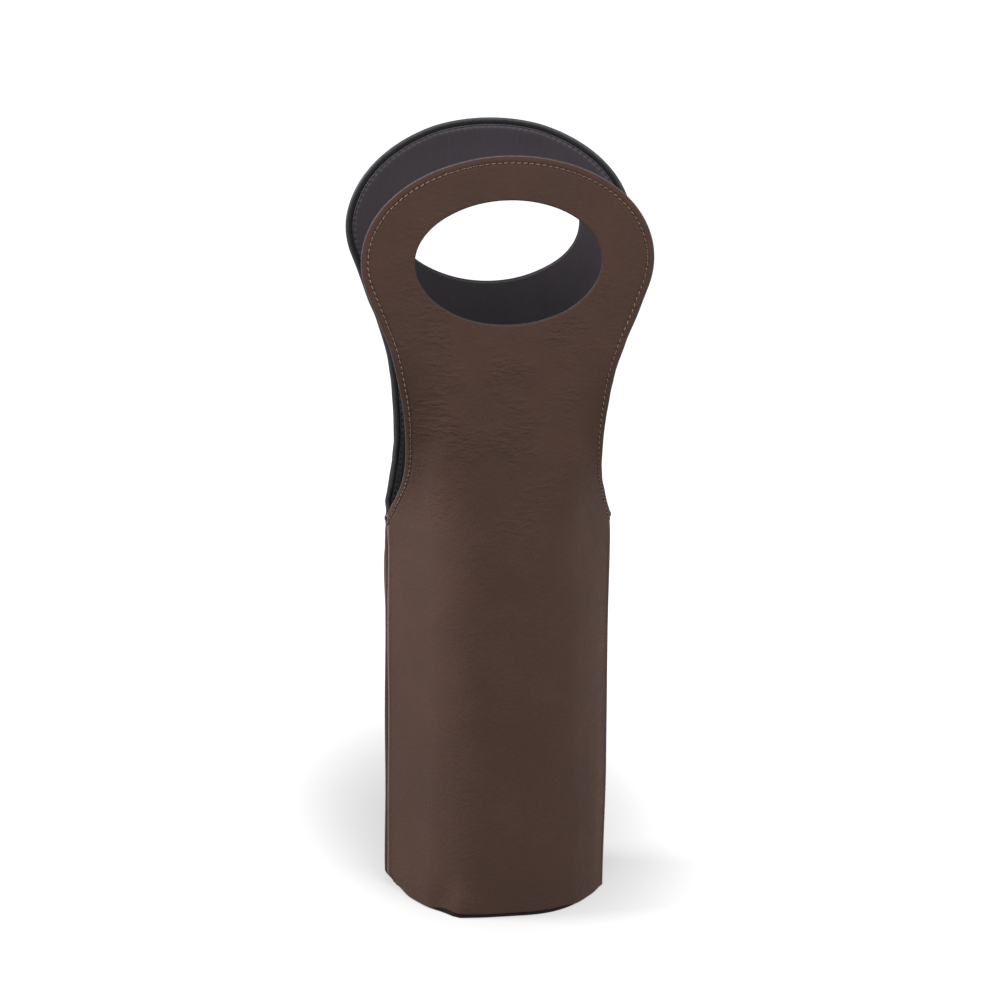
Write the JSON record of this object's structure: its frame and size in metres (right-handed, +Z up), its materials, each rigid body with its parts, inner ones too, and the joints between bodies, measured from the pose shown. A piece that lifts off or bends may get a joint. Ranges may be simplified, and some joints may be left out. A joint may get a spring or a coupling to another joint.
{
  "type": "bottle carrier",
  "caption": "Stiff leatherette bottle carrier: a seamed, nearly round sleeve on a flat base, with a front and a back panel that rise into oval handle heads with finger holes.",
  "frame": {"origin": "centre of the base on the surface that the carrier stands on", "axes": "+Z up to the handles, +X to the right across the side seams, the front panel faces -Y"},
  "size_m": [0.1316, 0.0911, 0.355],
  "materials": {
    "brown_leatherette": "matte, nubuck-like",
    "black_backing": "matte",
    "charcoal_lining": "smooth, matte",
    "tan_thread": "twisted polyester thread",
    "black_thread": "twisted polyester thread",
    "black_base_cover": "matte",
    "base_board": "grey board"
  },
  "bodies": {
    "sleeve": {"front_sleeve_leather": "brown_leatherette", "back_sleeve_leather": "brown_leatherette", "front_sleeve_backing": "black_backing", "back_sleeve_backing": "black_backing", "front_sleeve_lining": "charcoal_lining", "back_sleeve_lining": "charcoal_lining", "left_side_seam_thread": "black_thread", "right_side_seam_thread": "black_thread", "left_seam_bar_tack": "black_thread", "right_seam_bar_tack": "black_thread", "front_armhole_topstitching": "tan_thread", "back_armhole_topstitching": "tan_thread", "front_armhole_inner_stitching": "black_thread", "back_armhole_inner_stitching": "black_thread", "base_cover": "black_base_cover", "base_board": "base_board", "base_lining": "charcoal_lining", "base_seam_thread": "black_thread"},
    "front_handle": {"front_handle_leather": "brown_leatherette", "front_handle_backing": "black_backing", "front_handle_lining": "charcoal_lining", "front_handle_topstitching": "tan_thread", "front_handle_inner_stitching": "black_thread"},
    "back_handle": {"back_handle_leather": "brown_leatherette", "back_handle_backing": "black_backing", "back_handle_lining": "charcoal_lining", "back_handle_topstitching": "tan_thread", "back_handle_inner_stitching": "black_thread"}
  },
  "joints": [
    {"name": "front_handle_flex", "type": "hinge", "parent": "sleeve", "child": "front_handle", "pos_m": [0, -0.03494, 0.216], "axis": [-1, 0, 0], "range_deg": [-25, 16], "stiffness_Nm_per_rad": 0.35},
    {"name": "back_handle_flex", "type": "hinge", "parent": "sleeve", "child": "back_handle", "pos_m": [0, 0.0346, 0.216], "axis": [1, 0, 0], "range_deg": [-25, 16], "stiffness_Nm_per_rad": 0.35}
  ]
}
